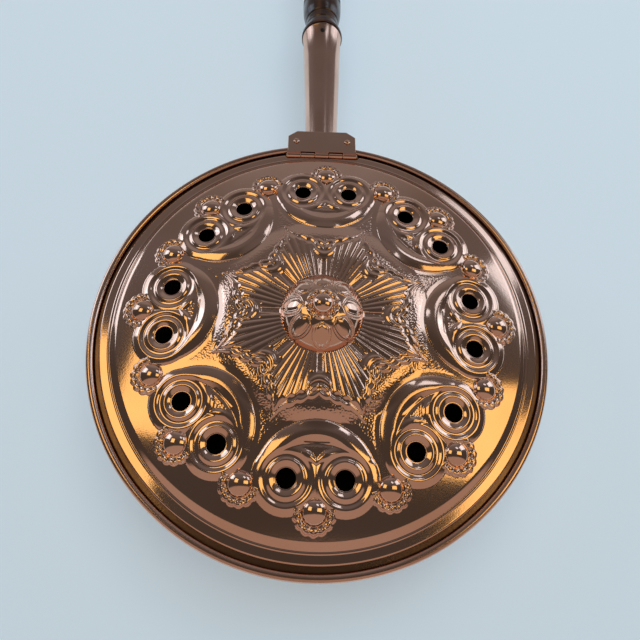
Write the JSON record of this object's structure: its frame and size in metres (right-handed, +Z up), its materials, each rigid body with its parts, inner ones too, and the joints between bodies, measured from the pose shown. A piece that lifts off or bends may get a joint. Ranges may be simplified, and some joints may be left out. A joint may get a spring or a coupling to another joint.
{
  "type": "bed warming pan",
  "caption": "Round copper pan with a hinged, embossed and vented lid, a tapered ferrule and a long turned wooden handle with a hanging ring.",
  "frame": {"origin": "centre of the pan's flat underside", "axes": "+Z up through the lid, +Y along the handle, +X to the right seen from the front of the pan"},
  "size_m": [0.3018, 1.0845, 0.1006],
  "materials": {
    "copper": null,
    "brass": "polished yellow brass",
    "steel_wire": "plain drawn wire",
    "dark_iron": "dark nail head",
    "dark_wood": "dark stained and varnished turning"
  },
  "bodies": {
    "pan": {"pan_bowl": "copper", "pan_rim_wire": "steel_wire", "hinge_plate": "copper", "hinge_pin": "brass", "hinge_rivet_left": "copper", "hinge_rivet_right": "copper", "handle_bracket": "brass", "ferrule": "copper", "ferrule_rivet": "copper", "ferrule_nail": "dark_iron", "wooden_handle": "dark_wood", "screw_eye": "brass", "bracket_rivet_1": "copper", "bracket_rivet_2": "copper", "bracket_rivet_3": "copper", "bracket_rivet_4": "copper"},
    "lid": {"lid": "copper", "lid_hinge_leaf": "copper"},
    "ring": {"hanging_ring": "brass"}
  },
  "joints": [
    {"name": "lid_hinge", "type": "hinge", "parent": "pan", "child": "lid", "pos_m": [0, 0.14, 0.06405], "axis": [-1, 0, 0], "range_deg": [0, 120]},
    {"name": "ring_swing", "type": "hinge", "parent": "pan", "child": "ring", "pos_m": [0, 0.92709, 0.08685], "axis": [1, 0, 0], "range_deg": [-55, 235]}
  ]
}
